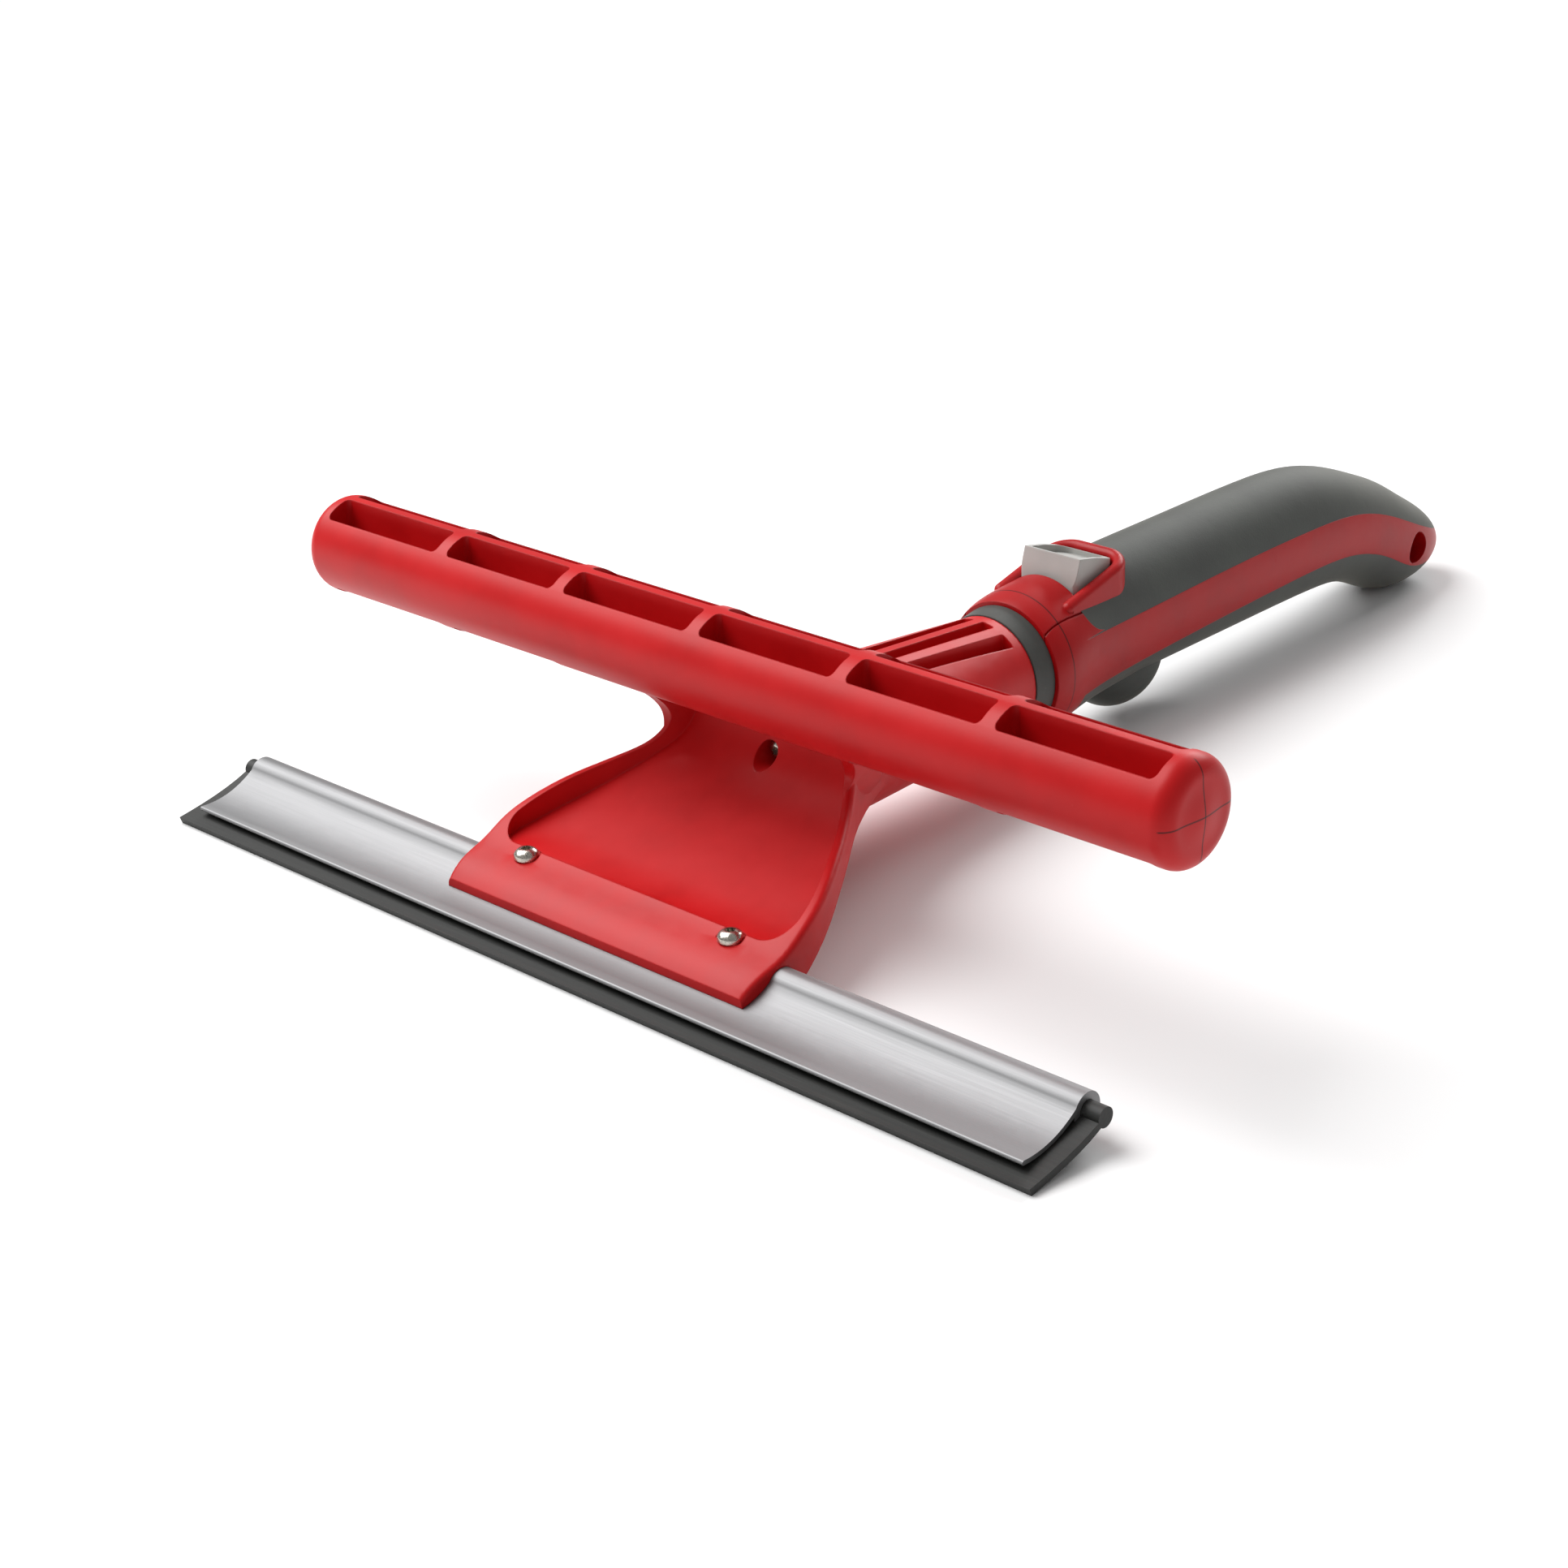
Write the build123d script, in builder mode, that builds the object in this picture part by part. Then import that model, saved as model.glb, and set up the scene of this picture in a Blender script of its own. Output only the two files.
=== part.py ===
from build123d import *
from math import cos, radians, tan
import os

os.makedirs("parts", exist_ok=True)

# Window cleaning squeegee: a blade head with a bar for the washing sleeve, latched into a two-tone handle.
# Millimetres. +X runs along the blade, +Y from the blade to the handle, +Z up; the tool lies as it is put
# down, on the rubber's edge and on the swelling at the handle's tail. Lengths along the tool are
# counted from the rubber's front edge, and `front` puts the middle of the tool at the origin.
tool_length = 376.0
blade_length = 300.0
front = -tool_length / 2

# Rubber and its aluminium channel
cord_radius = 2.5
cord_y = 25.7
cord_z = 7.9
channel_length = 290.0
bead_radius = 4.4
slip = 0.05

# Bar for the washing sleeve
bar_radius = 13.5
bar_length = 296.0
bar_y = 62.5
bar_z = 65.0
rib_thickness = 2.6
pocket_wall_y = 9.1
pocket_floor = 3.0
pocket_ends = [0.0, 48.6, 93.9, 141.0]
bar_web = 4.0

# Scoop that carries the blade
scoop_front = 13.5
scoop_rim_radius = 1.5
rim_thickness = 3.2
blade_screw_x = 36.3
blade_screw_y = 26.5
blade_screw_seat = 13.9

# Neck and coupling, on one axis
axis_z = 28.9
neck_end = 164.2
neck_end_radius = 16.8
slot_pitch = 6.8
slot_width = 3.9
slot_end = 160.6
tang_radius = 9.0
tang_start = 86.5
plug_screw_z = 34.6
flange_end = 171.0
flange_radius = 17.9
spigot_radius = 12.0
spigot_end = 209.0
groove_y = 195.5
groove_width = 2.0
groove_radius = 10.6

# Handle
handle_start = 171.2
grip_start = 186.0
skin = 2.6
hole_y = 352.0
hole_z = 15.8
hole_radius = 5.0
bore_end = 322.0
bore_radius = 9.0

# Release button in its rimmed well
well_half_width = 10.2
well_wall = 3.6
well_front = 188.4
well_end = 208.6
well_corner = 5.0
well_floor = 42.6
rim_radius = well_wall / 2
rim_start = 184.0
rim_start_z = 45.2
rim_slope = 14.0
button_gap = 0.4
button_travel = 1.8
pin_y = 205.0
pin_z = 46.8
pin_radius = 1.5
spring_y = 195.0
spring_height = 6.6


def station(y):
    """Plane across the tool, seen from the blade: local x is +X and local y is +Z."""
    return Plane.XZ.offset(-(front + y))


def level(z):
    """Horizontal plane at height z, its origin under the rubber's front edge."""
    return Plane(origin=(0, front, z), x_dir=(1, 0, 0), z_dir=(0, 0, 1))


def side(x=0.0):
    """Plane along the tool: local x is +Y from the rubber's front edge and local y is +Z."""
    return Plane(origin=(x, front, 0), x_dir=(0, 1, 0), z_dir=(1, 0, 0))


# --- Blade rubber: a flat tongue moulded to a round cord -----------------------------------------
with BuildPart() as blade_rubber:
    with BuildSketch(side(-blade_length / 2)):
        with BuildLine():
            under = Spline((0.7, 0), (8, 1.2), (16, 3.0), (cord_y, cord_z - 1.2))
            Line(under @ 1, (cord_y, cord_z + 0.8))
            over = Spline((cord_y, cord_z + 0.8), (15.6, 5.0), (7.7, 3.2), (0, 1.9))
            Line(over @ 1, under @ 0)
        make_face()
        with Locations((cord_y, cord_z)):
            Circle(cord_radius)
    extrude(amount=blade_length)
    with BuildSketch(Plane.XY.offset(cord_z - 4)):
        with GridLocations(2 * blade_screw_x, 1, 2, 1):
            with Locations((0, front + blade_screw_y)):
                Circle(1.5 + slip)
    extrude(amount=12, mode=Mode.SUBTRACT)

channel_top = [(4.2, 5.1), (13.5, 5.9), (23.2, 11.0)]

# --- Aluminium channel: a curved blade with a bead that grips the cord ----------------------------
with BuildPart() as blade_channel:
    with BuildSketch(side(-channel_length / 2)):
        with BuildLine():
            top = Spline(channel_top)
            Line(top @ 1, (cord_y, cord_z))
            Line((cord_y, cord_z), (22.2, 8.6))
            bottom = Spline((22.2, 8.6), (13.5, 4.7), (4.4, 3.9))
            ThreePointArc(bottom @ 1, (3.7, 4.4), top @ 0)
        make_face()
        with Locations((cord_y, cord_z)):
            Circle(bead_radius)
            Circle(cord_radius + slip, mode=Mode.SUBTRACT)
    extrude(amount=channel_length)
    with BuildSketch(Plane.XY.offset(cord_z)):
        with GridLocations(2 * blade_screw_x, 1, 2, 1):
            with Locations((0, front + blade_screw_y)):
                Circle(1.5 + slip)
    extrude(amount=8, mode=Mode.SUBTRACT)
    add(blade_rubber.part, mode=Mode.SUBTRACT)

# --- Bar for the washing sleeve, before its pockets are cut: a round bar with softly domed ends --------
with BuildPart() as sleeve_bar:
    bar_axis = Plane(origin=(0, front + bar_y, bar_z), x_dir=(1, 0, 0), z_dir=(0, -1, 0))
    half_bar = bar_length / 2
    with BuildSketch(bar_axis):
        with BuildLine():
            Line((0, bar_radius), (half_bar - 5.5, bar_radius))
            corner = ThreePointArc(
                (half_bar - 5.5, bar_radius), (half_bar - 2.1, bar_radius - 1.5), (half_bar - 0.8, bar_radius - 4.9)
            )
            Spline(corner @ 1, (half_bar, 0), tangents=(corner % 1, (0, -1)))
            Line((half_bar, 0), (0, 0))
            Line((0, 0), (0, bar_radius))
        make_face()
        mirror(about=Plane.YZ)
    revolve(axis=Axis(bar_axis.origin, (1, 0, 0)))

# --- Head moulding: scoop, bar and ribbed neck in one piece ----------------------------------------
scoop_edge = [(52.4, scoop_front), (53.7, 25), (53.2, 35), (50.4, 45), (45.4, 55), (39.4, 65), (33.6, 74)]
neck_edge = [(28.6, 84), (24.0, 96)]

hollow_edge = [(53.6, 28.5)] + scoop_edge[2:]

with BuildPart() as scoop_hollow:
    with BuildSketch(level(0)) as scoop_hollow_plan:
        with BuildLine():
            right = Spline([(x - rim_thickness, y) for x, y in hollow_edge] + [(26.8, 84)])
            Line(right @ 1, (-26.8, 84))
            left = Spline([(rim_thickness - x, y) for x, y in hollow_edge] + [(-26.8, 84)])
            Line(left @ 0, right @ 0)
        make_face()
        fillet(scoop_hollow_plan.vertices().sort_by(Axis.Y)[:2], 7)
    extrude(amount=58)
    with BuildSketch(side()):
        with BuildLine():
            floor_line = Spline((29, 14.6), (35, 14.4), (46, 17.3), (58, 22.2), (70, 28.8), (78, 35.2), (81.4, 43),
                                (81.6, 52))
            Polyline(floor_line @ 1, (81.6, 70), (26, 70), (26, 16.2), floor_line @ 0)
        make_face()
    extrude(amount=60, both=True, mode=Mode.INTERSECT)

with BuildPart() as under_hollow:
    with BuildSketch(level(0)):
        with BuildLine():
            right = Spline([(x - rim_thickness, y) for x, y in scoop_edge[2:]] + [(25.4, 82)])
            Line(right @ 1, (-25.4, 82))
            left = Spline([(rim_thickness - x, y) for x, y in scoop_edge[2:]] + [(-25.4, 82)])
            Line(left @ 0, right @ 0)
        make_face()
    extrude(amount=40)
    with BuildSketch(side()):
        with BuildLine():
            roof = Spline((36, 11.6), (46, 14.6), (58, 19.6), (70, 26.0), (76, 30.0))
            Polyline(roof @ 1, (80, 18), (76, 0), (36, 0), roof @ 0)
        make_face()
    extrude(amount=60, both=True, mode=Mode.INTERSECT)

with BuildPart() as head_moulding:
    # Dished scoop: the plan outline cut to a band between the rim line and the skirt's lower edge
    with BuildSketch(level(0)):
        with BuildLine():
            right = Spline(scoop_edge + neck_edge)
            Line(right @ 1, (-24.0, 96))
            left = Spline([(-x, y) for x, y in scoop_edge + neck_edge])
            Line(left @ 0, right @ 0)
        make_face()
    extrude(amount=58)
    with BuildSketch(side()):
        with BuildLine():
            rim_line = Spline((scoop_front, 8.3), (20, 12.4), (27, 14.7), (33, 18.0), (42, 22.0), (52, 25.8), (64, 29.6),
                              (71, 33.4), (73.8, 38.4), (71, 44), (65, 49))
            Polyline(rim_line @ 1, (60, 54), (92, 54), (96, 26))
            skirt_line = Spline((96, 26), (76, 23), (60, 18.6), (46, 12.6), (38, 8.0), (33.4, 5.2))
            Polyline(skirt_line @ 1, (31, 4.4), (scoop_front, 4.4), (scoop_front, 8.3))
        make_face()
    extrude(amount=60, both=True, mode=Mode.INTERSECT)
    upper_edges = head_moulding.edges().filter_by(lambda edge: edge.center().Z > 12 and edge.length > 40)
    fillet(upper_edges.filter_by(lambda edge: abs(edge.center().X) > 30), scoop_rim_radius)

    # Flared web that spreads under the bar
    with BuildSketch(station(88)):
        with BuildLine():
            flare = Spline((29.4, 30), (33.4, 38), (35.6, 43), (40, 49), (46, 54))
            Polyline(flare @ 1, (-46, 54))
            other = Spline((-46, 54), (-40, 49), (-35.6, 43), (-33.4, 38), (-29.4, 30))
            Line(other @ 1, flare @ 0)
        make_face()
    web = extrude(amount=26, mode=Mode.PRIVATE)
    with BuildSketch(side()) as web_side:
        with BuildLine():
            curl = Spline((69, 31.6), (72.4, 35), (73.8, 38.6), (71, 44), (65, 49))
            Polyline(curl @ 1, (60, 54), (78, 54), (86, 34), (84, 30), curl @ 0)
        make_face()
    web_band = extrude(amount=60, both=True, mode=Mode.PRIVATE)
    add(web & web_band)

    # Neck: an oval stem that becomes round at the coupling
    with BuildSketch(station(80)):
        with Locations((0, 33)):
            Ellipse(27, 19.6)
    with BuildSketch(station(neck_end)):
        with Locations((0, axis_z)):
            Ellipse(neck_end_radius, neck_end_radius - 0.01)
    loft()
    add(scoop_hollow.part, mode=Mode.SUBTRACT)
    add(under_hollow.part, mode=Mode.SUBTRACT)

    add(sleeve_bar.part)

    # Two rows of pockets drawn from above, and two from below beside the neck
    row_width = pocket_wall_y - rib_thickness / 2
    row_centre = (pocket_wall_y + rib_thickness / 2) / 2
    for inner, outer in zip(pocket_ends[:-1], pocket_ends[1:]):
        start = inner + bar_web / 2
        end = outer - bar_web / 2 if outer < pocket_ends[-1] else outer
        for sign in (-1, 1):
            for row in (-1, 1):
                with BuildSketch(Plane.XY.offset(bar_z + pocket_floor / 2)):
                    with Locations((sign * (start + end) / 2, front + bar_y + row * row_centre)):
                        RectangleRounded(end - start, row_width, 1.6)
                extrude(amount=20, mode=Mode.SUBTRACT)
                if inner > 0:
                    with BuildSketch(Plane.XY.offset(bar_z - pocket_floor / 2)):
                        with Locations((sign * (start + end) / 2, front + bar_y + row * row_centre)):
                            RectangleRounded(end - start, row_width, 1.6)
                    extrude(amount=-20, mode=Mode.SUBTRACT)

    # Slots between the neck's ribs, the outer two deeper because the stem falls away there
    for row, slot_floor in enumerate((34.4, 39.6, 39.6, 34.4)):
        with BuildSketch(Plane.XY.offset(slot_floor)):
            with Locations(((row - 1.5) * slot_pitch, front + slot_end - 36)):
                RectangleRounded(slot_width, 72, 0.7)
        extrude(amount=51 - slot_floor, mode=Mode.SUBTRACT)

    # Bore for the coupling's tang and the recess of its screw
    with BuildSketch(station(tang_start - 0.1)):
        with Locations((0, axis_z)):
            Circle(tang_radius + slip)
    extrude(amount=-90, mode=Mode.SUBTRACT)
    with BuildSketch(station(83.2)):
        with Locations((0, plug_screw_z)):
            Circle(3.4)
    extrude(amount=12, mode=Mode.SUBTRACT)
    with BuildSketch(station(60)):
        with Locations((0, plug_screw_z)):
            Circle(1.5 + slip)
    extrude(amount=-40, mode=Mode.SUBTRACT)

    # Seat over the channel: everything below the aluminium's top stays free
    with BuildSketch(side()):
        with BuildLine():
            seat_line = Spline([(y, z + slip) for y, z in channel_top])
            Polyline(seat_line @ 1, (cord_y, cord_z), (27.6, 3.4), (27.6, -2), (0, -2), (0, 5.15), seat_line @ 0)
        make_face()
        with Locations((cord_y, cord_z)):
            Circle(bead_radius + slip)
    extrude(amount=80, both=True, mode=Mode.SUBTRACT)
    with BuildSketch(Plane.XY.offset(cord_z)):
        with GridLocations(2 * blade_screw_x, 1, 2, 1):
            with Locations((0, front + blade_screw_y)):
                Circle(1.5 + slip)
    extrude(amount=20, mode=Mode.SUBTRACT)
    with BuildSketch(Plane.XY.offset(blade_screw_seat)):
        with GridLocations(2 * blade_screw_x, 1, 2, 1):
            with Locations((0, front + blade_screw_y)):
                Circle(3.9)
    extrude(amount=8, mode=Mode.SUBTRACT)


# --- Screws: pan heads with a six-lobed recess, threads left plain -----------------------------------
def make_pan_screw(head_radius, head_height, shank_length):
    """Screw standing on its seat at the origin, head up, shank down."""
    with BuildPart() as screw:
        with BuildSketch(Plane.XZ):
            with BuildLine():
                Polyline((0, head_height), (0, 0), (head_radius, 0), (head_radius, head_height * 0.45))
                ThreePointArc(
                    (head_radius, head_height * 0.45), (head_radius * 0.76, head_height * 0.87), (0, head_height)
                )
            make_face()
        revolve(axis=Axis.Z)
        with BuildSketch():
            Circle(1.5)
        extrude(amount=-shank_length)
        with BuildSketch(Plane.XY.offset(head_height - 1.3)):
            with PolarLocations(0.85, 6):
                Circle(0.42)
            Circle(0.95)
        extrude(amount=3, mode=Mode.SUBTRACT)
    return screw.part


blade_screws = {}
for name, sign in (("blade_screw_left", -1), ("blade_screw_right", 1)):
    seat = Location((sign * blade_screw_x, front + blade_screw_y, blade_screw_seat))
    blade_screws[name] = seat * make_pan_screw(3.3, 2.4, 7.0)

# --- Coupling plug: flange ring, tang held in the neck and spigot that enters the handle ------------
with BuildPart() as coupling_plug:
    with BuildSketch(station(tang_start)):
        with Locations((0, axis_z)):
            Circle(tang_radius)
    extrude(amount=-(neck_end + 0.2 - tang_start))
    with BuildSketch(station(neck_end + 0.2)):
        with Locations((0, axis_z)):
            Circle(flange_radius - 0.8)
    with BuildSketch(station(flange_end)):
        with Locations((0, axis_z)):
            Circle(flange_radius)
    loft()
    with BuildSketch(station(flange_end)):
        with Locations((0, axis_z)):
            Circle(spigot_radius)
    extrude(amount=-(spigot_end - flange_end))
    chamfer(coupling_plug.faces().sort_by(Axis.Y)[-1].edges(), 1.5)
    with BuildSketch(station(groove_y - groove_width / 2)):
        with Locations((0, axis_z)):
            Circle(spigot_radius + 1)
            Circle(groove_radius, mode=Mode.SUBTRACT)
    extrude(amount=-groove_width, mode=Mode.SUBTRACT)
    with BuildSketch(station(flange_end + 3)):
        with Locations((0, axis_z)):
            Circle(8.5)
    extrude(amount=-60, mode=Mode.SUBTRACT)
    with BuildSketch(station(tang_start)):
        with Locations((0, plug_screw_z)):
            Circle(1.5 + slip)
    extrude(amount=-14, mode=Mode.SUBTRACT)

plug_screw = Location((0, front + 83.2, plug_screw_z), (90, 0, 0)) * make_pan_screw(3.1, 2.2, 15)

# --- Handle skin: oval sections along the handle as (station, top, bottom, half width) --------------
handle_sections = [
    (handle_start, 47.8, 9.9, 19.0), (175, 48.9, 9.0, 19.9), (181, 49.8, 9.0, 19.7), (190, 50.8, 9.9, 18.3),
    (205, 51.9, 11.2, 17.1), (240, 52.4, 11.9, 16.7), (285, 52.4, 11.9, 16.6), (306, 50.9, 11.7, 16.6),
    (322, 46.8, 10.2, 16.5), (336, 41.2, 5.3, 16.3), (346, 36.6, 1.1, 16.0), (356, 30.6, 0.1, 15.2),
    (363, 26.4, 1.2, 13.8), (369, 22.2, 3.6, 11.2), (374, 17.6, 7.2, 6.8), (tool_length, 15.2, 10.0, 3.4),
]

with BuildPart() as handle_skin:
    for y, top_z, bottom_z, half_width in handle_sections:
        with BuildSketch(station(y)):
            with Locations((0, (top_z + bottom_z) / 2)):
                Ellipse(half_width, (top_z - bottom_z) / 2)
    loft()

with BuildPart() as handle_inner:
    for y, top_z, bottom_z, half_width in handle_sections[:-1]:
        with BuildSketch(station(y)):
            with Locations((0, (top_z + bottom_z) / 2)):
                Ellipse(half_width - skin, (top_z - bottom_z) / 2 - skin)
    loft(ruled=True)

# The red band: everything between these two lines on the sides of the handle
band_top = [(185, 37.0), (240, 37.6), (292, 38.0), (318, 36.0), (336, 30.6), (352, 23.4), (366, 17.6), (390, 12.6)]
band_bottom = [(185, 20.5), (240, 22.6), (292, 24.5), (318, 23.2), (336, 17.2), (352, 9.6), (366, 7.6), (390, 7.6)]


with BuildPart() as upper_region:
    with BuildSketch(side()):
        with BuildLine():
            edge = Spline(band_top)
            Polyline(edge @ 1, (390, 80), (grip_start, 80), (grip_start, 60))
            Spline((grip_start, 60), (grip_start + 0.6, 48), (grip_start + 3, 40), (grip_start + 8, 37.2))
            Line((grip_start + 8, 37.2), edge @ 0)
        make_face()
    extrude(amount=30, both=True)

with BuildPart() as lower_region:
    with BuildSketch(side()):
        with BuildLine():
            edge = Spline(band_bottom)
            Polyline(edge @ 1, (390, -10), (band_bottom[0][0], -10), edge @ 0)
        make_face()
    extrude(amount=30, both=True)

# --- Well wall and raised rim around the button, with the red panel in front of it ------------------
with BuildPart() as button_bezel:
    wall_centre = well_half_width + well_wall / 2
    wall_end = well_end + well_wall / 2
    wall_corner = well_corner + well_wall / 2
    with BuildSketch(level(well_floor)):
        with BuildLine():
            FilletPolyline(
                (-wall_centre, rim_start), (-wall_centre, wall_end), (wall_centre, wall_end), (wall_centre, rim_start),
                radius=wall_corner,
            )
        trace(line_width=well_wall)
    extrude(amount=20)
    with BuildSketch(side()):
        with BuildLine():
            rise = 30 * tan(radians(rim_slope))
            Polyline((180, 30), (180, rim_start_z), (rim_start, rim_start_z), (rim_start + 30, rim_start_z + rise),
                     (rim_start + 30, 30), (180, 30))
        make_face()
    extrude(amount=30, both=True, mode=Mode.INTERSECT)
    rim_plane = Plane(origin=(0, front + rim_start, rim_start_z), x_dir=(1, 0, 0)).rotated((rim_slope, 0, 0))
    with BuildLine(rim_plane) as rim_path:
        slope_length = (wall_end - rim_start) / cos(radians(rim_slope))
        FilletPolyline(
            (-wall_centre, 0), (-wall_centre, slope_length), (wall_centre, slope_length), (wall_centre, 0),
            radius=wall_corner,
        )
    with BuildSketch(Plane(origin=rim_path.line @ 0, z_dir=rim_path.line % 0)):
        Circle(rim_radius)
    sweep(path=rim_path.line)
    with Locations(rim_path.line @ 0, rim_path.line @ 1):
        Sphere(rim_radius)
    # Panel between the button and the mouth of the handle, parted from the collar by narrow slits
    panel_edge = wall_centre + well_wall / 2
    with BuildSketch(level(30)):
        with Locations((0, (handle_start + well_front) / 2)):
            Rectangle(2 * panel_edge, well_front - handle_start)
    panel_block = extrude(amount=40, mode=Mode.PRIVATE)
    add((handle_skin.part - handle_inner.part) & panel_block)

# --- Solid red core: socket, collar, side bands and the ribbed body under the grips ------------------
with BuildPart() as well_block:
    with BuildSketch(level(well_floor)) as well_plan:
        with Locations((0, (well_front + wall_end + well_wall / 2) / 2)):
            Rectangle(2 * panel_edge, wall_end + well_wall / 2 - well_front)
        fillet(well_plan.vertices().sort_by(Axis.Y)[-2:], wall_corner + well_wall / 2)
    extrude(amount=30)

with BuildPart() as panel_slot:
    with BuildSketch(level(30)):
        with Locations((0, (handle_start + well_front) / 2 - 2)):
            Rectangle(2 * panel_edge + 0.9, well_front - handle_start + 4)
    extrude(amount=40)
    add(handle_inner.part, mode=Mode.SUBTRACT)

with BuildPart() as slits:
    with BuildSketch(level(36)):
        with GridLocations(2 * panel_edge - 0.8, 1, 2, 1):
            with Locations((0, handle_start + 5)):
                Rectangle(1.5, 6)
    extrude(amount=40)
    with BuildSketch(station(handle_start + 1)):
        with Locations((0, axis_z)):
            Circle(18.1)
    extrude(amount=-9, mode=Mode.SUBTRACT)

with BuildPart() as handle_core:
    add(handle_skin.part)
    add(upper_region.part, mode=Mode.SUBTRACT)
    add(lower_region.part, mode=Mode.SUBTRACT)
    add(handle_inner.part)
    add(well_block.part, mode=Mode.SUBTRACT)
    add(panel_slot.part, mode=Mode.SUBTRACT)
    add(slits.part, mode=Mode.SUBTRACT)
    add(button_bezel.part, mode=Mode.SUBTRACT)
    with BuildSketch(station(handle_start - 1)):
        with Locations((0, axis_z)):
            Circle(spigot_radius + slip)
    extrude(amount=-45, mode=Mode.SUBTRACT)
    with BuildSketch(station(groove_y - groove_width / 2)):
        with Locations((0, axis_z)):
            Circle(13.1)
    extrude(amount=-groove_width, mode=Mode.SUBTRACT)
    with BuildSketch(station(handle_start + 44)):
        with Locations((0, axis_z)):
            Circle(bore_radius)
    extrude(amount=-(bore_end - handle_start - 44), mode=Mode.SUBTRACT)
    with BuildSketch(side()):
        with Locations((hole_y, hole_z)):
            Circle(hole_radius)
    extrude(amount=30, both=True, mode=Mode.SUBTRACT)

# --- Soft grips moulded over the core, above and below the red bands ---------------------------------
with BuildPart() as grip_top:
    add(handle_skin.part)
    add(upper_region.part, mode=Mode.INTERSECT)
    add(handle_inner.part, mode=Mode.SUBTRACT)
    add(well_block.part, mode=Mode.SUBTRACT)
    add(button_bezel.part, mode=Mode.SUBTRACT)

with BuildPart() as grip_bottom:
    # Finger stop: a swelling turned about a line inside the handle
    with BuildSketch(side()):
        with BuildLine():
            swell = Spline((202, 14), (206, 8.2), (213, 4.2), (220, 3.4), (228, 5.2), (236, 9.4), (243, 14))
            Line(swell @ 1, swell @ 0)
        make_face()
    revolve(axis=Axis((0, front, 14), (0, 1, 0)))
    add(handle_skin.part)
    add(lower_region.part, mode=Mode.INTERSECT)
    add(handle_inner.part, mode=Mode.SUBTRACT)

# --- Release button: a wedge with a dished thumb rest, hinged on a pin at its rear ---------------------
button_half = well_half_width - button_gap
button_front = well_front + 1.0
button_end = well_end - button_gap

with BuildPart() as thumb_dish:
    with BuildSketch(level(40)) as dish_plan:
        with Locations((0, (192.9 + button_end - 1.4) / 2)):
            Rectangle(2 * (button_half - 1.5), button_end - 1.4 - 192.9)
        fillet(dish_plan.vertices().sort_by(Axis.Y)[-2:], well_corner - 1)
        fillet(dish_plan.vertices().sort_by(Axis.Y)[:2], 0.8)
    extrude(amount=30)
    with BuildSketch(side()):
        with BuildLine():
            Polyline((192, 54.6), (209, 50.2), (209, 70), (192, 70), (192, 54.6))
        make_face()
    extrude(amount=30, both=True, mode=Mode.INTERSECT)

with BuildPart() as release_button:
    with BuildSketch(level(well_floor + button_travel)) as button_plan:
        with Locations((0, (button_front + button_end) / 2)):
            Rectangle(2 * button_half, button_end - button_front)
        fillet(button_plan.vertices().sort_by(Axis.Y)[-2:], well_corner)
        fillet(button_plan.vertices().sort_by(Axis.Y)[:2], 1.6)
    extrude(amount=30)
    with BuildSketch(side()):
        with BuildLine():
            Polyline((186, 40), (187.2, 40), (189.4, 48.6), (192.0, 56.4), (199, 54.9), (204.6, 53.2), (212, 50.4),
                     (212, 40), (186, 40))
        make_face()
    extrude(amount=30, both=True, mode=Mode.INTERSECT)
    add(thumb_dish.part, mode=Mode.SUBTRACT)
    with BuildSketch(level(well_floor)):
        with Locations((0, 196.4)):
            RectangleRounded(2 * button_half - 4, 9.4, 2)
    extrude(amount=8.4, mode=Mode.SUBTRACT)
    with BuildSketch(side()):
        with Locations((pin_y, pin_z)):
            Circle(pin_radius + slip)
    extrude(amount=30, both=True, mode=Mode.SUBTRACT)

with BuildPart() as button_pin:
    with BuildSketch(side()):
        with Locations((pin_y, pin_z)):
            Circle(pin_radius)
    extrude(amount=9.6, both=True)

with BuildPart() as button_spring:
    with BuildLine(level(well_floor + 0.1)):
        coil = Helix(pitch=1.5, height=spring_height, radius=2.6, center=(0, spring_y, 0.5))
    with BuildSketch(Plane(origin=coil @ 0, z_dir=coil % 0)):
        Circle(0.35)
    sweep(path=coil)

with BuildPart() as latch_clip:
    clip_radius = 11.7
    with BuildLine(station(groove_y)):
        clip_path = CenterArc((0, axis_z), clip_radius, 125, 290)
    with BuildSketch(Plane(origin=clip_path @ 0, z_dir=clip_path % 0)):
        Circle(0.7)
    sweep(path=clip_path)

with BuildPart() as bezel_bores:
    with BuildSketch(side()):
        with Locations((pin_y, pin_z)):
            Circle(pin_radius + slip / 2)
    extrude(amount=9.7, both=True)

pieces = {
    "head_moulding": head_moulding.part,
    "blade_channel": blade_channel.part,
    "blade_rubber": blade_rubber.part,
    "coupling_plug": coupling_plug.part,
    "plug_screw": plug_screw,
    "handle_core": handle_core.part,
    "grip_top": grip_top.part,
    "grip_bottom": grip_bottom.part,
    "button_bezel": button_bezel.part - bezel_bores.part,
    "release_button": release_button.part,
    "button_pin": button_pin.part,
    "button_spring": button_spring.part,
    "latch_clip": latch_clip.part,
    **blade_screws,
}
for name, piece in pieces.items():
    piece.label = name
    export_step(piece, f"parts/{name}.step")
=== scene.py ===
# %% [markdown]
# # A window cleaning squeegee
#
# The tool lies on a pale floor: a rubber blade in an aluminium channel, a red moulded head with a bar for
# the washing sleeve, and a two-tone handle that lets the head go when its grey button is pressed.
# The measured model is loaded as a fixed frame, and every shape in view is the frame's own. This script
# gives each part a smooth skin and its finish, and sets the floor, the light and the camera.

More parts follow.
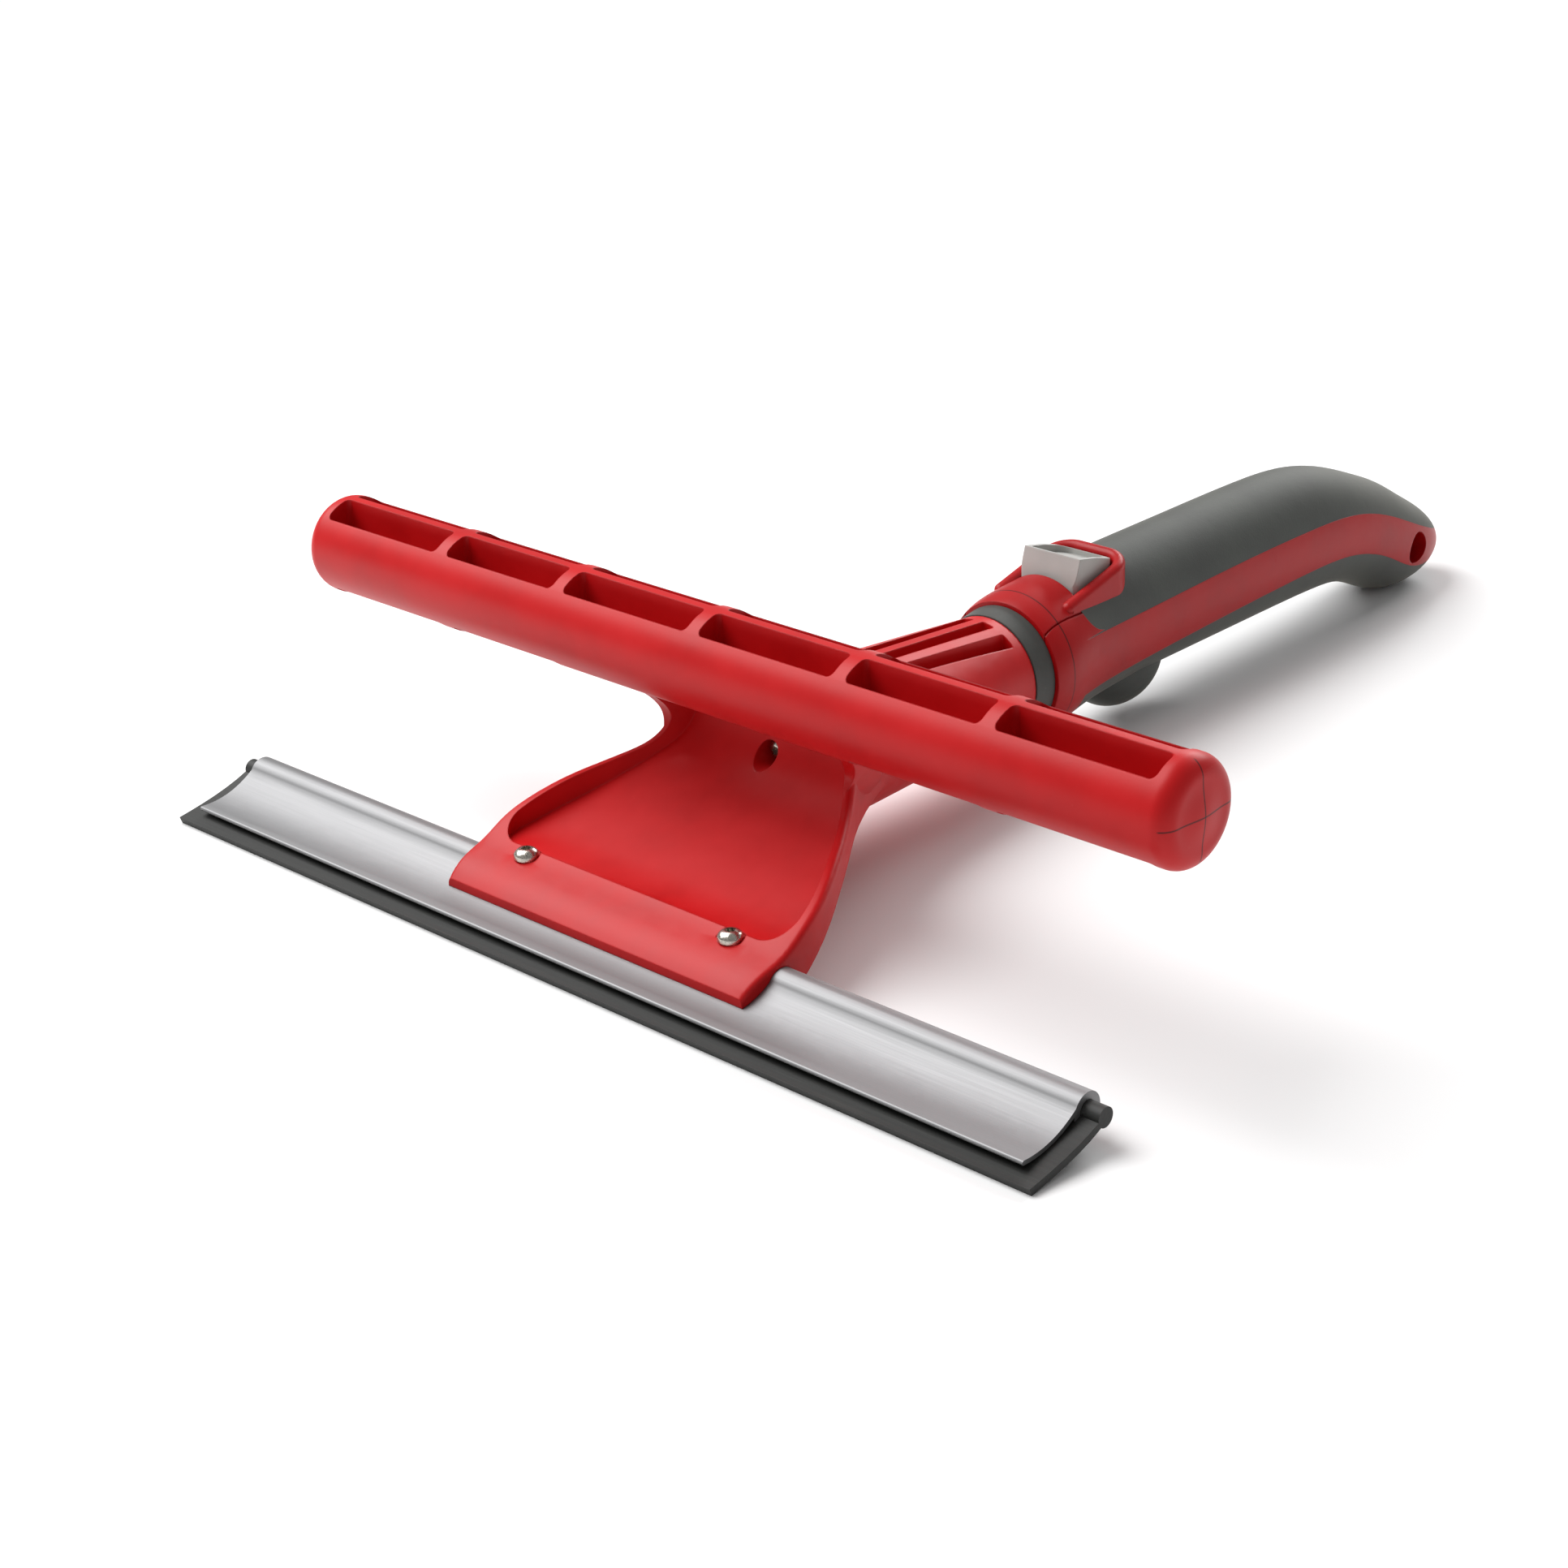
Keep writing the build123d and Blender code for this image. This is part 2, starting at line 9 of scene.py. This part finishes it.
# %% Load the frame
import math

import bpy
import numpy as np
from mathutils import Matrix, Vector


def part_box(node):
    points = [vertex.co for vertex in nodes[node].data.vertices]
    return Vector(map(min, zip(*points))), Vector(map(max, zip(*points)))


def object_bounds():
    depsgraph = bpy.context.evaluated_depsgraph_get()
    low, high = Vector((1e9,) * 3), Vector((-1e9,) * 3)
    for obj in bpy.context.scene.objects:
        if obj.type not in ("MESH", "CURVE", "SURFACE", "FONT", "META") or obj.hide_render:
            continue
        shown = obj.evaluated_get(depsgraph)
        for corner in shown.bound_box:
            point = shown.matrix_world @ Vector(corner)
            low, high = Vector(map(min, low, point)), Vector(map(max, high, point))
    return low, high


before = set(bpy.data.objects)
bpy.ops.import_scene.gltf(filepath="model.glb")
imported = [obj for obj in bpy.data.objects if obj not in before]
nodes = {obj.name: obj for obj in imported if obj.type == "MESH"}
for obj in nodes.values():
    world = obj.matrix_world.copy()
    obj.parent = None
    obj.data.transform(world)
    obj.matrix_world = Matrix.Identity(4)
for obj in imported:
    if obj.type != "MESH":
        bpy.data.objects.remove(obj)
cad_box = [list(corner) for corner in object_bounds()]
print("parts:", sorted(nodes))

# %% [markdown]
# ## Lengths that the rest is worked out from
#
# Everything is in metres. The box of the whole tool gives the blade's front edge and the floor's height.
# The box of the red head gives its bar, and from those come the places where the mould's halves met. A
# millimetre has a name, so sizes read as on a drawing.

# %% Places
mm = 0.001
low, high = [Vector(corner) for corner in cad_box]
blade_front = low.y
floor_height = low.z
bar_radius = 13.5 * mm
bar_from_front = 62.5 * mm
seam_from_front = 177 * mm
bar_end_depth = 3 * mm

head_high = Vector(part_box("head_moulding")[1])
bar_end = head_high.x - bar_end_depth
bar_middle = blade_front + bar_from_front
bar_axis = head_high.z - bar_radius
collar_seam = blade_front + seam_from_front
print("tool length", round((high.y - low.y) / mm, 1), "mm, bar reaches", round(head_high.x / mm, 1), "mm")

# %% [markdown]
# ## Smooth skins on the measured parts
#
# A measured part comes as loose triangles, so light would show each facet. Joining the triangles again,
# and then splitting the surface only where it turns sharply, lets the curved faces shade smoothly while
# moulded edges stay crisp. Both steps are live modifiers, so the part's own points stay as they are.

# %% Smooth the measured parts
def smooth_skin(part, sharp_degrees=32):
    """Weld the part's triangles and shade it smooth, split where two faces meet at more than the angle."""
    part.data.polygons.foreach_set("use_smooth", np.ones(len(part.data.polygons), dtype=bool))
    if part.data.has_custom_normals:
        part.data.attributes.remove(part.data.attributes["custom_normal"])
    weld = part.modifiers.new("Weld", "WELD")
    weld.merge_threshold = 0.002 * mm
    split = part.modifiers.new("Split", "EDGE_SPLIT")
    split.split_angle = math.radians(sharp_degrees)


for part in nodes.values():
    smooth_skin(part)
print("smoothed", len(nodes))

# %% [markdown]
# ## Colours and nodes
#
# Colours are written as the hex values a designer would pick, and turned to linear light once. One small
# function adds a node with its settings and its links, so a finish reads as a short list of steps.

# %% Helpers for finishes
def linear(hex_colour):
    """Linear RGBA of an sRGB hex colour: the standard curve with its straight foot."""
    values = [int(hex_colour[i:i + 2], 16) / 255 for i in (0, 2, 4)]
    return [v / 12.92 if v <= 0.04045 else ((v + 0.055) / 1.055) ** 2.4 for v in values] + [1.0]


def set_stops(ramp, stops):
    """Give a colour ramp its stops, each (position, hex colour); it comes with two, and more are made."""
    while len(ramp.elements) < len(stops):
        ramp.elements.new(0.5)
    for element, (position, colour) in zip(ramp.elements, stops):
        element.position = position
        element.color = linear(colour)


def add(tree, kind, settings=None, **links):
    """Add a node. Settings go to its colour ramp, attributes or input sockets, and links join its sockets."""
    node = tree.nodes.new(kind)
    for key, value in (settings or {}).items():
        if key == "stops":
            set_stops(node.color_ramp, value)
        elif hasattr(node, key):
            setattr(node, key, value)
        else:
            node.inputs[key].default_value = value
    for key, source in links.items():
        tree.links.new(source, node.inputs[key.replace("_", " ")])
    return node


def new_finish(name, **settings):
    """A finish with its main shader set up, and its tree, shader and object coordinates handed back."""
    finish = bpy.data.materials.new(name)
    finish.use_nodes = True
    tree = finish.node_tree
    shader = tree.nodes["Principled BSDF"]
    for key, value in settings.items():
        shader.inputs[key.replace("_", " ")].default_value = value
    place = add(tree, "ShaderNodeTexCoord").outputs["Object"]
    return finish, tree, shader, place


def mould_line(tree, coordinate, place, half_width, shade="2C2C2C"):
    """White everywhere, and a dark line where a coordinate equals a place, fading over its half width."""
    near = add(tree, "ShaderNodeMapRange", {"From Min": place - half_width, "From Max": place + half_width},
               Value=coordinate)
    line = add(tree, "ShaderNodeValToRGB", {"stops": [(0.15, "FFFFFF"), (0.5, shade), (0.85, "FFFFFF")]},
               Fac=near.outputs["Result"])
    return line.outputs["Color"]


print("deep red in linear light:", [round(v, 3) for v in linear("C8282B")])

# %% [markdown]
# ## Moulded polypropylene
#
# The head, the handle's core, the rim round the button, the button and the coupling plug are injection
# moulded polypropylene: a satin, slightly waxy skin from a lightly textured mould. It could be one flat
# colour, but a real moulding is never that even. Slow noise clouds the colour and the gloss, fast noise
# leaves pale dust, and a fine bump stands for the mould's grain. The grain of 0.35 mm is coarser than the
# real one, which would be too fine to see. A bevel in the shading rounds the light on sharp edges, and a
# little scattering under the surface keeps the red from looking like paint.
#
# Where the mould's halves met, a dark line crosses the ends of the bar and runs round the collar. The real
# line is about 0.1 mm wide and is drawn wider here, so that it shows. It is colour only, and no groove.

# %% Moulded polypropylene
mould_line_half_width = 0.45 * mm
cloud_size, flow_size, dust_size = 22 * mm, 9 * mm, 0.9 * mm
edge_radius = 0.5 * mm


def moulded_polypropylene(name, colours, dust_colour, grain=0.35 * mm, roughness=0.4, lines=()):
    """Slow noise spreads the three colours, dark to light; dust, mould lines, wax and grain go over them.

    Each of the lines is (axis, place, least distance from the middle plane): the mould's halves met there.
    """
    finish, tree, shader, place = new_finish(
        name, Roughness=roughness, IOR=1.49, Specular_IOR_Level=0.28, Subsurface_Weight=0.03,
        Subsurface_Scale=1.5 * mm, Subsurface_Radius=(1.0, 0.2, 0.15),
    )
    cloud = add(tree, "ShaderNodeTexNoise", {"Scale": 1 / cloud_size, "Detail": 3.0, "Roughness": 0.6},
                Vector=place)
    body = add(tree, "ShaderNodeValToRGB", {"stops": list(zip((0.3, 0.52, 0.75), colours))},
               Fac=cloud.outputs["Fac"])

    specks = add(tree, "ShaderNodeTexNoise", {"Scale": 1 / dust_size, "Detail": 1.0}, Vector=place)
    dust = add(tree, "ShaderNodeMapRange", {"From Min": 0.72, "From Max": 0.86, "To Max": 0.16},
               Value=specks.outputs["Fac"])
    tint = add(tree, "ShaderNodeMix", {"data_type": "RGBA", "B": linear(dust_colour)},
               Factor=dust.outputs["Result"], A=body.outputs["Color"])

    where = add(tree, "ShaderNodeSeparateXYZ", Vector=place)
    sideways = add(tree, "ShaderNodeMath", {"operation": "ABSOLUTE"}, Value=where.outputs["X"])
    for axis, line_place, from_middle in lines:
        reached = add(tree, "ShaderNodeMapRange",
                      {"From Min": from_middle - 0.5 * mm, "From Max": from_middle},
                      Value=sideways.outputs["Value"])
        line = mould_line(tree, where.outputs[axis], line_place, mould_line_half_width)
        tint = add(tree, "ShaderNodeMix", {"data_type": "RGBA", "blend_type": "MULTIPLY"},
                   Factor=reached.outputs["Result"], A=tint.outputs["Result"], B=line)
    tree.links.new(tint.outputs["Result"], shader.inputs["Base Color"])

    wax = add(tree, "ShaderNodeMapRange", {"To Min": roughness - 0.05, "To Max": roughness + 0.08},
              Value=cloud.outputs["Fac"])
    tree.links.new(wax.outputs["Result"], shader.inputs["Roughness"])

    rounded = add(tree, "ShaderNodeBevel", {"samples": 4, "Radius": edge_radius})
    flow = add(tree, "ShaderNodeTexNoise", {"Scale": 1 / flow_size, "Detail": 2.0}, Vector=place)
    ripple = add(tree, "ShaderNodeBump", {"Strength": 0.12, "Distance": 0.5 * mm}, Height=flow.outputs["Fac"],
                 Normal=rounded.outputs["Normal"])
    pitted = add(tree, "ShaderNodeTexNoise", {"Scale": 1 / grain, "Detail": 2.0}, Vector=place)
    bump = add(tree, "ShaderNodeBump", {"Strength": 0.22, "Distance": 0.05 * mm},
               Height=pitted.outputs["Fac"], Normal=ripple.outputs["Normal"])
    tree.links.new(bump.outputs["Normal"], shader.inputs["Normal"])
    return finish


red_head = moulded_polypropylene(
    "Polypropylene_red_head", ("B80C10", "C20F13", "C81217"), "C8504C",
    lines=[("Y", bar_middle, bar_end), ("Z", bar_axis, bar_end)])
red_handle = moulded_polypropylene(
    "Polypropylene_red_handle", ("9E070B", "A80A0E", "AE0D11"), "C8504C", roughness=0.36,
    lines=[("Y", collar_seam, 0.0)])
grey_button = moulded_polypropylene(
    "Polypropylene_light_grey", ("A8A7A3", "B0AFAB", "B7B6B2"), "D8D8D4", grain=0.45 * mm, roughness=0.5)
grey_plug = moulded_polypropylene(
    "Polypropylene_dark_grey", ("454644", "4E4F4C", "565754"), "8A8A86", grain=0.4 * mm, roughness=0.48)
print("moulded:", [finish.name for finish in (red_head, red_handle, grey_button, grey_plug)])

# %% [markdown]
# ## Soft grip
#
# The dark grips are a thermoplastic elastomer moulded over the red core. It is matte with a dull sheen
# where it catches the light at a flat angle, which is set on the shader's own sheen. Its mould was spark
# eroded, and that leaves fine pits: the cells of a Voronoi pattern give them, half a millimetre apart.

# %% Overmoulded elastomer
mottle_size, pit_size = 16 * mm, 0.55 * mm


def soft_elastomer(name, colours):
    """Slow noise spreads the three colours, and the distance inside each cell gives the bump its pits."""
    finish, tree, shader, place = new_finish(name, Roughness=0.62, IOR=1.5, Sheen_Weight=0.25,
                                             Sheen_Roughness=0.45, Sheen_Tint=linear("D8D2C4"))
    mottle = add(tree, "ShaderNodeTexNoise", {"Scale": 1 / mottle_size, "Detail": 4.0}, Vector=place)
    body = add(tree, "ShaderNodeValToRGB", {"stops": list(zip((0.3, 0.5, 0.75), colours))},
               Fac=mottle.outputs["Fac"])
    tree.links.new(body.outputs["Color"], shader.inputs["Base Color"])
    pits = add(tree, "ShaderNodeTexVoronoi", {"Scale": 1 / pit_size}, Vector=place)
    bump = add(tree, "ShaderNodeBump", {"Strength": 0.25, "Distance": 0.06 * mm},
               Height=pits.outputs["Distance"])
    tree.links.new(bump.outputs["Normal"], shader.inputs["Normal"])
    return finish


soft_grip = soft_elastomer("Elastomer_dark_grey", ("383B39", "3C403D", "414541"))
print("overmoulded:", soft_grip.name)

# %% [markdown]
# ## Blade rubber
#
# Natural rubber filled with carbon black is nearly black and matte. The blade is extruded, so faint
# streaks run along it. A Mapping node that shrinks the length to a twenty-fifth draws an even noise out
# into such streaks, which go into the colour and the bump, and a second noise adds a fine matte tooth.

# %% Carbon black rubber
streak_size, tooth_size = 0.8 * mm, 0.5 * mm


def extruded_rubber(name, colours):
    """Noise drawn out along the blade spreads the colours and ripples the bump; finer noise goes on it."""
    finish, tree, shader, place = new_finish(name, Roughness=0.58, IOR=1.52)
    along = add(tree, "ShaderNodeMapping", {"Scale": (0.04, 1.0, 1.0)}, Vector=place)
    streaks = add(tree, "ShaderNodeTexNoise", {"Scale": 1 / streak_size, "Detail": 3.0},
                  Vector=along.outputs["Vector"])
    body = add(tree, "ShaderNodeValToRGB", {"stops": list(zip((0.3, 0.6, 0.85), colours))},
               Fac=streaks.outputs["Fac"])
    tree.links.new(body.outputs["Color"], shader.inputs["Base Color"])
    ripple = add(tree, "ShaderNodeBump", {"Strength": 0.3, "Distance": 0.08 * mm},
                 Height=streaks.outputs["Fac"])
    tooth = add(tree, "ShaderNodeTexNoise", {"Scale": 1 / tooth_size, "Detail": 2.0}, Vector=place)
    bump = add(tree, "ShaderNodeBump", {"Strength": 0.2, "Distance": 0.05 * mm}, Height=tooth.outputs["Fac"],
               Normal=ripple.outputs["Normal"])
    tree.links.new(bump.outputs["Normal"], shader.inputs["Normal"])
    return finish


black_rubber = extruded_rubber("Rubber_carbon_black", ("131412", "1C1D1A", "2B2C28"))
print("extruded rubber:", black_rubber.name)

# %% [markdown]
# ## Anodised aluminium
#
# The channel is extruded aluminium, etched and clear anodised. The etch gives a soft, even satin, so the
# roughness is high for a metal, and the anodic layer dulls the metal's own colour to a mid grey. The die
# leaves lines along the length, made as on the rubber by drawing a noise out, only much longer.

# %% Anodised aluminium
die_line_size = 0.35 * mm


def anodised_aluminium(name, colour):
    """Metal whose roughness and bump follow a noise that is drawn out eighty times along the extrusion."""
    finish, tree, shader, place = new_finish(name, Metallic=1.0, Base_Color=linear(colour))
    along = add(tree, "ShaderNodeMapping", {"Scale": (0.012, 1.0, 1.0)}, Vector=place)
    die_lines = add(tree, "ShaderNodeTexNoise", {"Scale": 1 / die_line_size, "Detail": 4.0},
                    Vector=along.outputs["Vector"])
    satin = add(tree, "ShaderNodeMapRange", {"To Min": 0.5, "To Max": 0.62}, Value=die_lines.outputs["Fac"])
    tree.links.new(satin.outputs["Result"], shader.inputs["Roughness"])
    bump = add(tree, "ShaderNodeBump", {"Strength": 0.18, "Distance": 0.04 * mm},
               Height=die_lines.outputs["Fac"])
    tree.links.new(bump.outputs["Normal"], shader.inputs["Normal"])
    return finish


satin_aluminium = anodised_aluminium("Aluminium_satin_anodised", "8F8F90")
print("extruded metal:", satin_aluminium.name)

# %% [markdown]
# ## Stainless and spring steel
#
# The screws are cold headed stainless steel, bright with slight scuffs from the driver. The pin, the coil
# spring and the latch clip are drawn spring wire, a little duller. One function serves both: a fine noise
# darkens the metal, roughens it and lifts it a trace in the same places, as a scuff does.

# %% Bright steel
scuff_size = 0.25 * mm


def bright_steel(name, colour, roughness, scuff_colour="8E8A82"):
    """Metal whose colour, roughness and bump all follow one fine noise."""
    finish, tree, shader, place = new_finish(name, Metallic=1.0)
    scuffs = add(tree, "ShaderNodeTexNoise", {"Scale": 1 / scuff_size, "Detail": 3.0}, Vector=place)
    tint = add(tree, "ShaderNodeValToRGB", {"stops": [(0.35, scuff_colour), (0.55, colour)]},
               Fac=scuffs.outputs["Fac"])
    tree.links.new(tint.outputs["Color"], shader.inputs["Base Color"])
    wear = add(tree, "ShaderNodeMapRange", {"To Min": roughness - 0.08, "To Max": roughness + 0.12},
               Value=scuffs.outputs["Fac"])
    tree.links.new(wear.outputs["Result"], shader.inputs["Roughness"])
    bump = add(tree, "ShaderNodeBump", {"Strength": 0.15, "Distance": 0.02 * mm},
               Height=scuffs.outputs["Fac"])
    tree.links.new(bump.outputs["Normal"], shader.inputs["Normal"])
    return finish


stainless = bright_steel("Stainless_cold_headed", "CFC9BE", 0.22)
spring_wire = bright_steel("Spring_steel_drawn", "B4B6B8", 0.3)
print("steel:", stainless.name, spring_wire.name)

# %% [markdown]
# ## Which part has which finish
#
# The measured parts keep their shapes and only take a material, so a table is enough. Parts from one mould
# or one bar of stock share a finish.

# %% Give every measured part its finish
finishes = {
    "head_moulding": red_head,
    "handle_core": red_handle,
    "button_bezel": red_handle,
    "release_button": grey_button,
    "coupling_plug": grey_plug,
    "grip_top": soft_grip,
    "grip_bottom": soft_grip,
    "blade_rubber": black_rubber,
    "blade_channel": satin_aluminium,
    "blade_screw_left": stainless,
    "blade_screw_right": stainless,
    "plug_screw": stainless,
    "button_pin": spring_wire,
    "button_spring": spring_wire,
    "latch_clip": spring_wire,
}
for name, finish in finishes.items():
    nodes[name].data.materials.clear()
    nodes[name].data.materials.append(finish)
print("finishes:", len(set(finishes.values())), "on", len(finishes), "parts")

# %% [markdown]
# ## Floor
#
# The tool lies on a plain white sweep. A large plane at the lowest point of the frame is enough, and as
# part of the stage it isn't counted as a piece of the object.

# %% Floor
floor_size = 12
bpy.ops.mesh.primitive_plane_add(size=floor_size, location=(0, 0, floor_height))
floor = bpy.context.object
floor.name = "floor"
paper = new_finish("Paper_white", Roughness=0.9, Base_Color=linear("F4F4F4"))[0]
floor.data.materials.append(paper)
print("floor:", floor_size, "m square at", floor_height, "m")

# %% [markdown]
# ## Light
#
# A large soft box high on the left makes the shadows that fall to the right of the handle, and the white
# surroundings fill them. A weaker strip from behind draws the bright line along the grip's crest and the
# aluminium bead. The surroundings are kept low, because too much of them washes the red out to pink.

# %% Soft light
surroundings = 0.33
key_power, rear_power = 34, 16

world = bpy.data.worlds.new("Studio")
bpy.context.scene.world = world
world.use_nodes = True
backdrop = world.node_tree.nodes["Background"]
backdrop.inputs["Color"].default_value = (1, 1, 1, 1)
backdrop.inputs["Strength"].default_value = surroundings


def soft_box(name, place, target, width, height, power):
    """A rectangular light at a place, turned to face its target."""
    lamp = bpy.data.lights.new(name, "AREA")
    lamp.shape = "RECTANGLE"
    lamp.size = width
    lamp.size_y = height
    lamp.energy = power
    box = bpy.data.objects.new(name, lamp)
    box.location = place
    box.rotation_euler = (Vector(target) - Vector(place)).to_track_quat("-Z", "Y").to_euler()
    bpy.context.scene.collection.objects.link(box)


soft_box("key_left", (-0.9, -0.4, 1.3), (0, 0, 0), 1.4, 1.4, key_power)
soft_box("rear_strip", (-0.3, 1.5, 0.9), (0, 0.1, 0), 1.2, 0.4, rear_power)
print("light: surroundings", surroundings, "key", key_power, "W, rear", rear_power, "W")

# %% [markdown]
# ## Camera
#
# The camera stands in front of the blade and to its right. Its direction turns 44.8 degrees from the
# handle's line and looks down by 23.9, and the camera is tilted by 2.5 degrees. The lens is a short
# telephoto on a 36 mm wide square sensor. The three directions of the camera are worked out first, and
# stand as the columns of its matrix.

# %% Camera
to_right, before_blade, above_floor = 505.7 * mm, 426.4 * mm, 342.1 * mm
turn, pitch, tilt = math.radians(44.77), math.radians(23.86), math.radians(-2.49)

backwards = Vector((math.sin(turn) * math.cos(pitch), -math.cos(turn) * math.cos(pitch), math.sin(pitch)))
level_right = (-backwards).cross(Vector((0, 0, 1))).normalized()
level_up = level_right.cross(-backwards)
right = math.cos(tilt) * level_right + math.sin(tilt) * level_up
up = -math.sin(tilt) * level_right + math.cos(tilt) * level_up

camera_data = bpy.data.cameras.new("camera")
camera_data.lens = 70.4
camera_data.sensor_width = 36
camera = bpy.data.objects.new("camera", camera_data)
camera.matrix_world = Matrix((right, up, backwards)).transposed().to_4x4()
camera.location = Vector((to_right, blade_front - before_blade, floor_height + above_floor))
bpy.context.scene.collection.objects.link(camera)
bpy.context.scene.camera = camera
bpy.context.scene.view_settings.view_transform = "Standard"
print("camera at", [round(value / mm, 1) for value in camera.location], "mm")
